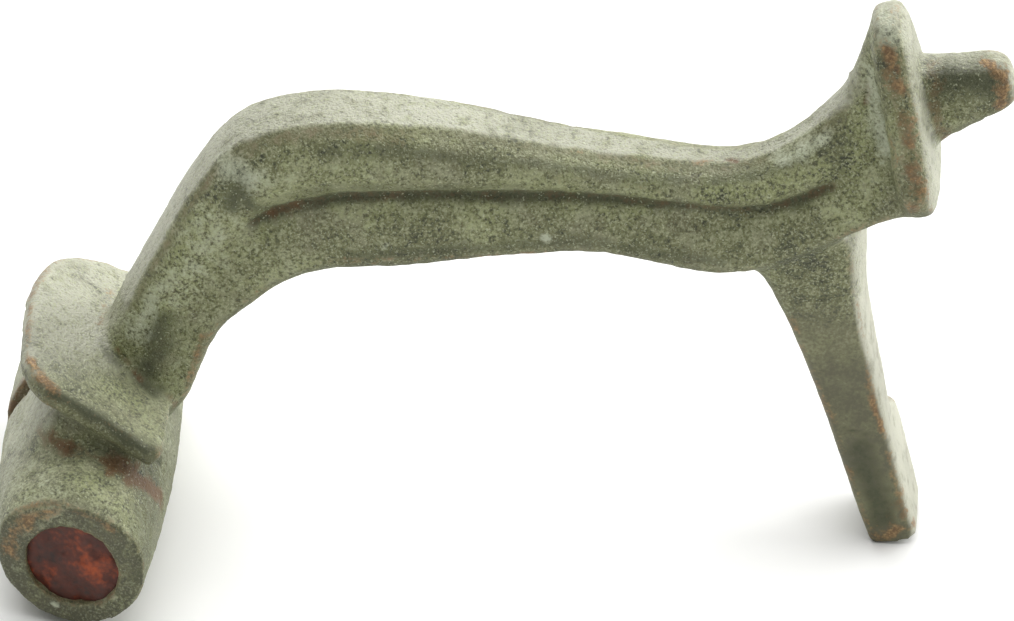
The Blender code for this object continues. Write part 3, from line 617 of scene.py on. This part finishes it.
def patinated_bronze(colours):
    """Cast bronze under an old green patina.

    Copper carbonates and tin oxide make a dry skin of 0.1 mm grains, so it is dull and speckled, with a pale
    bloom on the backs and faces that look up, which is partly dust and partly painted light, and short pits
    on the backs. Handling has rubbed edges down to brown cuprite and metal, which shine a little. The
    hollows, the groove and faces that look down get painted shade, and pale specks are painted in as glints.
    """
    material, tree, shader = new_material("patinated bronze")
    place = add_node(tree, "TexCoord").outputs["Object"]
    in_mm = add_node(tree, "Mapping", {"Vector": place, "Scale": (1 / MM,) * 3}).outputs["Vector"]
    drawn_out = add_node(tree, "Mapping", {"Vector": in_mm, "Scale": (0.4, 1, 1)}).outputs["Vector"]
    field = {name: add_node(tree, "Attribute", attribute_name=name).outputs["Fac"] for name in FIELDS}

    # Noises with the size of their grain in mm and their detail; the pits are drawn out along the bow. Real
    # grains are finer still, but under 0.08 mm, which is two pixels of the render, they wouldn't show
    noise = {}
    for index, (name, vector, size, detail) in enumerate((
            ("clouds", in_mm, 2.0, 3.0), ("mottle", in_mm, 0.55, 4.0), ("grain", in_mm, 0.13, 3.0),
            ("flecks", in_mm, 0.1, 1.0), ("pits", drawn_out, 0.12, 2.0), ("glints", in_mm, 0.08, 0.0))):
        noise[name] = add_node(tree, "TexNoise", {"Vector": vector, "W": float(index), "Scale": 1 / size,
                                                  "Detail": detail, "Roughness": 0.6},
                               noise_dimensions="4D").outputs["Fac"]

    # The green runs from the deep green to grey by the tone field, whose painted shade darkens the tube's end
    # faces and the catch's flat face, and by the clouds, mottle and grain together
    tone = field["tone"]
    for name, share in (("clouds", 1.0), ("mottle", 1.1), ("grain", 1.6)):
        tone = add_node(tree, "Math", {0: noise[name], 1: share, 2: tone},
                        operation="MULTIPLY_ADD").outputs[0]
    green = add_node(tree, "ValToRGB", {"Fac": add_node(
        tree, "MapRange", {"Value": tone, "From Min": 1.4, "From Max": 2.25}).outputs["Result"]})
    stops = green.color_ramp.elements
    stops[0].color = colours.deep_green_and_shade
    stops[1].color = colours.grey
    stops.new(0.5).color = colours.olive
    colour = green.outputs["Color"]

    # Masks of the grain: a noise from where it starts to where it is full, with its greatest strength. Each
    # is limited to a field, and without one it fades where the surface is rubbed smooth
    rough = add_node(tree, "Math", {0: 1.0, 1: field["smooth"]},
                     operation="SUBTRACT", use_clamp=True).outputs[0]
    masks = {}
    for name, source, cover, low, high, most in (
            # The bloom is partly dust and partly painted light on the pale faces
            ("bloom", "mottle", "pale", 0.2, 0.5, 0.85),
            ("moss", "grain", "moss", 0.42, 0.58, 0.75),
            ("speck", "flecks", None, 0.54, 0.66, 0.75),
            ("grit", "grain", None, 0.44, 0.34, 0.35),
            ("earth", "clouds", None, 0.5, 0.66, 0.6),
            ("pit", "pits", "pale", 0.36, 0.28, 0.35),
            # The glints are painted highlights
            ("painted_glint", "glints", None, 0.7, 0.8, 0.45)):
        spread = add_node(tree, "MapRange", {"Value": noise[source], "From Min": low, "From Max": high,
                                             "To Max": most}).outputs["Result"]
        masks[name] = add_node(tree, "Math", {0: spread, 1: field[cover] if cover else rough},
                               operation="MULTIPLY").outputs[0]

    # Masks of the marks: a field whose rim is frayed by the grain and the mottle, with no stray specks where
    # the field is nothing
    fray = add_node(tree, "Math", {0: noise["grain"], 1: noise["mottle"]}, operation="ADD").outputs[0]
    fray = add_node(tree, "Math", {0: fray, 1: 1.3, 2: -1.3}, operation="MULTIPLY_ADD").outputs[0]
    for name, low, high, most in (
            ("wear", 0.25, 0.85, 0.95),
            ("shade", 0.2, 1.0, 0.85),
            ("rust", 0.25, 0.95, 0.9),
            ("chalk", 0.2, 0.9, 0.8)):
        frayed = add_node(tree, "Math", {0: field[name], 1: fray}, operation="ADD").outputs[0]
        spread = add_node(tree, "MapRange", {"Value": frayed, "From Min": low, "From Max": high,
                                             "To Max": most})
        there = add_node(tree, "MapRange", {"Value": field[name], "From Max": 0.2}).outputs["Result"]
        masks[name] = add_node(tree, "Math", {0: spread.outputs["Result"], 1: there},
                               operation="MULTIPLY").outputs[0]

    # Bare metal breaks through the worn places in grains, and the film lies wherever the surface is smooth
    bright = add_node(tree, "MapRange", {"Value": noise["grain"], "From Min": 0.45, "From Max": 0.7,
                                         "To Max": 0.85}).outputs["Result"]
    masks["bright"] = add_node(tree, "Math", {0: masks["wear"], 1: bright}, operation="MULTIPLY").outputs[0]
    masks["film"] = add_node(tree, "Math", {0: field["smooth"], 1: 0.6}, operation="MULTIPLY").outputs[0]

    # The layers from the lowest to the topmost, each a mask and the colour that it lays over those below. The
    # bloom is partly dust and partly painted light, the shade layer is painted shade in hollows, the groove
    # and faces that look down as well as the dark colour of some crusts, pits and a scratch, and the glints
    # are painted highlights
    for name, paint in (
            ("earth", "film"), ("moss", "moss"), ("film", "film"), ("bloom", "bloom"), ("speck", "grey"),
            ("shade", "deep_green_and_shade"), ("rust", "rust"), ("chalk", "chalk"), ("grit", "pit"), ("pit", "pit"),
            ("painted_glint", "painted_glint"), ("wear", "copper"), ("bright", "bright")):
        colour = add_node(tree, "Mix", {0: masks[name], 6: colour, 7: list(getattr(colours, paint))},
                          data_type="RGBA").outputs[2]

    # Worn places are smoother and partly metal, shaded ones duller
    rubbed = add_node(tree, "MapRange", {"Value": masks["wear"], "To Min": 0.5,
                                         "To Max": 0.38}).outputs["Result"]
    dull = add_node(tree, "Math", {0: masks["shade"], 1: 0.25, 2: rubbed},
                    operation="MULTIPLY_ADD").outputs[0]
    metal = add_node(tree, "MapRange", {"Value": masks["wear"], "To Max": 0.4}).outputs["Result"]

    # The grains and flecks stand up and the pits go in, less so on smooth places
    height = add_node(tree, "Math", {0: noise["flecks"], 1: 0.5, 2: noise["grain"]},
                      operation="MULTIPLY_ADD").outputs[0]
    height = add_node(tree, "Math", {0: masks["pit"], 1: -0.4, 2: height},
                      operation="MULTIPLY_ADD").outputs[0]
    strength = add_node(tree, "MapRange", {"Value": rough, "To Min": 0.25, "To Max": 1.0}).outputs["Result"]
    bump = add_node(tree, "Bump", {"Height": height, "Distance": 0.12 * MM, "Strength": strength})
    for socket, source in (("Base Color", colour), ("Roughness", dull), ("Metallic", metal),
                           ("Normal", bump.outputs["Normal"])):
        tree.links.new(source, shader.inputs[socket])
    return material


def rusted_iron(colours):
    """Iron turned to rust.

    Crumbly oxides cover it, so it is dull all over, with grains of 0.2 mm in patches of 1.1 mm that run from
    plum through red to orange, and most orange where fresh rust has broken out.
    """
    material, tree, shader = new_material("rusted iron")
    place = add_node(tree, "TexCoord").outputs["Object"]
    in_mm = add_node(tree, "Mapping", {"Vector": place, "Scale": (1 / MM,) * 3}).outputs["Vector"]
    patches = add_node(tree, "TexNoise", {"Vector": in_mm, "Scale": 1 / 1.1, "Detail": 4.0}).outputs["Fac"]
    grain = add_node(tree, "TexNoise", {"Vector": in_mm, "Scale": 1 / 0.2, "Detail": 3.0}).outputs["Fac"]
    fresh = add_node(tree, "Attribute", attribute_name="fresh").outputs["Fac"]
    mixed = add_node(tree, "Math", {0: grain, 1: 0.55, 2: patches}, operation="MULTIPLY_ADD").outputs[0]
    mixed = add_node(tree, "Math", {0: fresh, 1: 0.38, 2: mixed}, operation="MULTIPLY_ADD").outputs[0]
    ramp = add_node(tree, "ValToRGB", {"Fac": add_node(
        tree, "MapRange", {"Value": mixed, "From Min": 0.6, "From Max": 1.2}).outputs["Result"]})
    stops = ramp.color_ramp.elements
    stops[0].color = colours.plum
    stops[1].color = colours.orange
    stops.new(0.5).color = colours.red
    bump = add_node(tree, "Bump", {"Height": mixed, "Distance": 0.08 * MM, "Strength": 0.8})
    shader.inputs["Roughness"].default_value = 0.62
    tree.links.new(ramp.outputs["Color"], shader.inputs["Base Color"])
    tree.links.new(bump.outputs["Normal"], shader.inputs["Normal"])
    return material


def grid_mesh(name, points):
    """A mesh over a grid of points that closes on itself across, with a fan over each end row's one point."""
    rows, sides = points.shape[:2]
    index = np.arange(rows * sides).reshape(rows, sides)
    here, after = index[:-1], index[1:]
    quads = np.stack([here, np.roll(here, -1, 1), np.roll(after, -1, 1), after], -1).reshape(-1, 4)
    mesh = bpy.data.meshes.new(name)
    mesh.from_pydata(points.reshape(-1, 3), [], quads)
    shape = bmesh.new()
    shape.from_mesh(mesh)
    bmesh.ops.remove_doubles(shape, verts=shape.verts, dist=MERGE_DISTANCE)
    bmesh.ops.recalc_face_normals(shape, faces=shape.faces)
    shape.to_mesh(mesh)
    shape.free()
    return mesh


def axle_points(sizes):
    """The rusted axle on a grid of ways along it and turns round it.

    The first and last thirds of the way are the end faces: the radius grows from nothing to the axle's, and
    the face lies on the slanted plane of the tube's end, less a recess that is shallowest on its mound. The
    middle third runs straight from one face's rim to the other's. Noise lumps every point, less so at the
    middle of the faces, and the points near the ends sink with the bore.
    """
    way = np.linspace(0, 3, AXLE_ROWS)[:, None]
    turn = np.linspace(0, 2 * np.pi, AXLE_SIDES, endpoint=False)[None, :]
    radius = (AXLE_RADIUS + sizes.growth / MM) * np.clip(np.minimum(way, 3 - way), 0, 1)
    x, z = radius * np.cos(turn), radius * np.sin(turn)
    mound = np.exp(-((x - MOUND[0]) ** 2 + (z - MOUND[1]) ** 2) / MOUND_SPREAD)
    recess = sizes.recess / MM * (1.25 - 0.75 * mound)
    face = end_gap(np.stack([x.ravel(), 0 * x.ravel()], -1)).reshape(x.shape) - recess
    side = np.clip(2 * (way - 1.5), -1, 1)
    points = np.stack([x, side * face, z + HINGE_HEIGHT + 0 * way], -1)
    flat = points.reshape(-1, 3)
    lumps = sizes.lumps / MM * np.stack([layered_noise(flat, *NOISES["lumps along " + axis])
                                         for axis in "xyz"], -1)
    lumps[:, [0, 2]] *= 0.5
    whole = points + lumps.reshape(points.shape) * (0.3 + 0.7 * np.clip(radius, 0, 1))[..., None]
    whole[..., 2] -= end_wear(flat).reshape(x.shape)
    whole[[0, -1]] = whole[[0, -1]].mean(axis=1, keepdims=True)
    return whole


class BROOCH_OT_casting(bpy.types.Operator):
    """Lay the fine skin over the bronze, move its relief into it and give it its patina"""

    bl_idname = "brooch.casting"
    bl_label = "Bronze casting"

    def execute(self, context):
        settings = context.scene.brooch
        mesh = fine_skin("bronze_brooch", settings.casting.grid)
        edges = read_edges(mesh)
        points = read_points(mesh)
        normals = read_normals(mesh)
        places = (points - GROUND_POINT) / MM
        bulge = ((places - relax(places, edges, SURROUNDINGS_STEPS)) * normals).sum(axis=1)
        regions = casting_regions(places, normals)
        height = casting_relief(places, regions, settings.casting)
        points += normals * height[:, None] * MM
        points[:, 2] = np.maximum(points[:, 2] - end_wear(places) * MM, 0)
        write_points(mesh, points)
        for name, values in casting_finish(places, normals, bulge, regions).items():
            write_field(mesh, name, values)
        add_piece("bronze_casting", mesh, ["bronze_brooch"],
                  patinated_bronze(settings.patina))
        return {"FINISHED"}


class BROOCH_OT_axle(bpy.types.Operator):
    """Make the rusted axle that fills the hinge tube"""

    bl_idname = "brooch.axle"
    bl_label = "Rusted axle"

    def execute(self, context):
        settings = context.scene.brooch
        points = axle_points(settings.axle)
        mesh = grid_mesh("rusted_axle", points * MM + GROUND_POINT)
        places = (read_points(mesh) - GROUND_POINT) / MM
        height = places[:, 2] - HINGE_HEIGHT
        fresh = np.exp(-((places[:, 0] - FRESH[0]) ** 2 + (height - FRESH[1]) ** 2) / FRESH_SPREAD)
        write_field(mesh, "fresh", fresh + 0.2 * layered_noise(places, *NOISES["fresh rust"]))
        add_piece("rusted_axle", mesh, ["iron_axle"], rusted_iron(settings.rust))
        return {"FINISHED"}


class BROOCH_OT_stage(bpy.types.Operator):
    """Set the brooch on a plain pale floor in soft light, seen as in the photograph"""

    bl_idname = "brooch.stage"
    bl_label = "Floor, light and camera"

    def execute(self, context):
        settings = context.scene.brooch.stage
        self.lay_floor(settings)
        self.light(context.scene, settings)
        self.place_camera(context.scene)
        context.scene.view_settings.view_transform = "Standard"
        return {"FINISHED"}

    @staticmethod
    def lay_floor(settings):
        """A square sheet of matt card."""
        half = settings.floor_side / 2
        mesh = bpy.data.meshes.new("floor")
        corners = [(-half, -half, 0), (half, -half, 0), (half, half, 0), (-half, half, 0)]
        mesh.from_pydata(corners, [], [(0, 1, 2, 3)])
        material, _, shader = new_material("matt card")
        shader.inputs["Base Color"].default_value = settings.floor
        shader.inputs["Roughness"].default_value = 0.9
        mesh.materials.append(material)
        floor = bpy.data.objects.new("floor", mesh)
        bpy.context.scene.collection.objects.link(floor)

    @staticmethod
    def light(scene, settings):
        """White surroundings, a wide light behind that the backs mirror softly, one above, and one beyond the
        foot, each turned to the brooch."""
        world = bpy.data.worlds.new("white surroundings")
        world.use_nodes = True
        background = world.node_tree.nodes["Background"]
        background.inputs["Color"].default_value = (1, 1, 1, 1)
        background.inputs["Strength"].default_value = settings.sky
        scene.world = world
        for setting, width, depth, place in LAMPS:
            name = setting.replace("_", " ")
            lamp = bpy.data.lights.new(name, "AREA")
            lamp.shape = "RECTANGLE"
            lamp.energy = getattr(settings, setting)
            lamp.size, lamp.size_y = width, depth
            holder = bpy.data.objects.new(name, lamp)
            holder.location = place
            holder.rotation_euler = (-Vector(place)).to_track_quat("-Z", "Y").to_euler()
            scene.collection.objects.link(holder)

    @staticmethod
    def place_camera(scene):
        """The camera looks at the target from the photograph's angle, a little rolled, and then slides by a
        fraction of a millimetre to centre the brooch as the photograph does."""
        back = np.array((sin(VIEW_AZIMUTH) * cos(VIEW_ELEVATION),
                         -cos(VIEW_AZIMUTH) * cos(VIEW_ELEVATION),
                         sin(VIEW_ELEVATION)))
        right = np.array((cos(VIEW_AZIMUTH), sin(VIEW_AZIMUTH), 0))
        up = np.cross(back, right)
        right, up = (cos(VIEW_ROLL) * right + sin(VIEW_ROLL) * up,
                     cos(VIEW_ROLL) * up - sin(VIEW_ROLL) * right)
        place = VIEW_TARGET + back * VIEW_DISTANCE + VIEW_SLIDE[0] * right + VIEW_SLIDE[1] * up
        lens = bpy.data.cameras.new("camera")
        lens.sensor_fit = "HORIZONTAL"
        lens.sensor_width = SENSOR_WIDTH
        lens.lens = SENSOR_WIDTH * PIXELS_PER_RADIAN / FRAME_WIDTH
        camera = bpy.data.objects.new("camera", lens)
        turn = Matrix((right, up, back)).transposed().to_4x4()
        camera.matrix_world = Matrix.Translation(place) @ turn
        scene.collection.objects.link(camera)
        scene.camera = camera


class BROOCH_PT_sidebar(bpy.types.Panel):
    """The brooch's steps, in the 3D view's sidebar"""

    bl_label = "Knee brooch"
    bl_space_type = "VIEW_3D"
    bl_region_type = "UI"
    bl_category = "Brooch"

    def draw(self, context):
        settings = context.scene.brooch
        for operator, group in (("brooch.casting", settings.casting), ("brooch.casting", settings.patina),
                                ("brooch.axle", settings.axle), ("brooch.axle", settings.rust),
                                ("brooch.stage", settings.stage)):
            box = self.layout.box()
            box.operator(operator)
            for name in group.bl_rna.properties.keys():
                if name not in ("rna_type", "name"):
                    box.prop(group, name)


CLASSES = (PatinaColours, RustColours, CastingSizes, AxleSizes, StageSettings, BroochSettings,
           BROOCH_OT_casting, BROOCH_OT_axle, BROOCH_OT_stage, BROOCH_PT_sidebar)


def register():
    for item in CLASSES:
        bpy.utils.register_class(item)
    bpy.types.Scene.brooch = bpy.props.PointerProperty(type=BroochSettings)


def unregister():
    del bpy.types.Scene.brooch
    for item in reversed(CLASSES):
        bpy.utils.unregister_class(item)


def main():
    register()
    bpy.ops.brooch.casting()
    bpy.ops.brooch.axle()
    bpy.ops.brooch.stage()


if __name__ == "__main__":
    main()
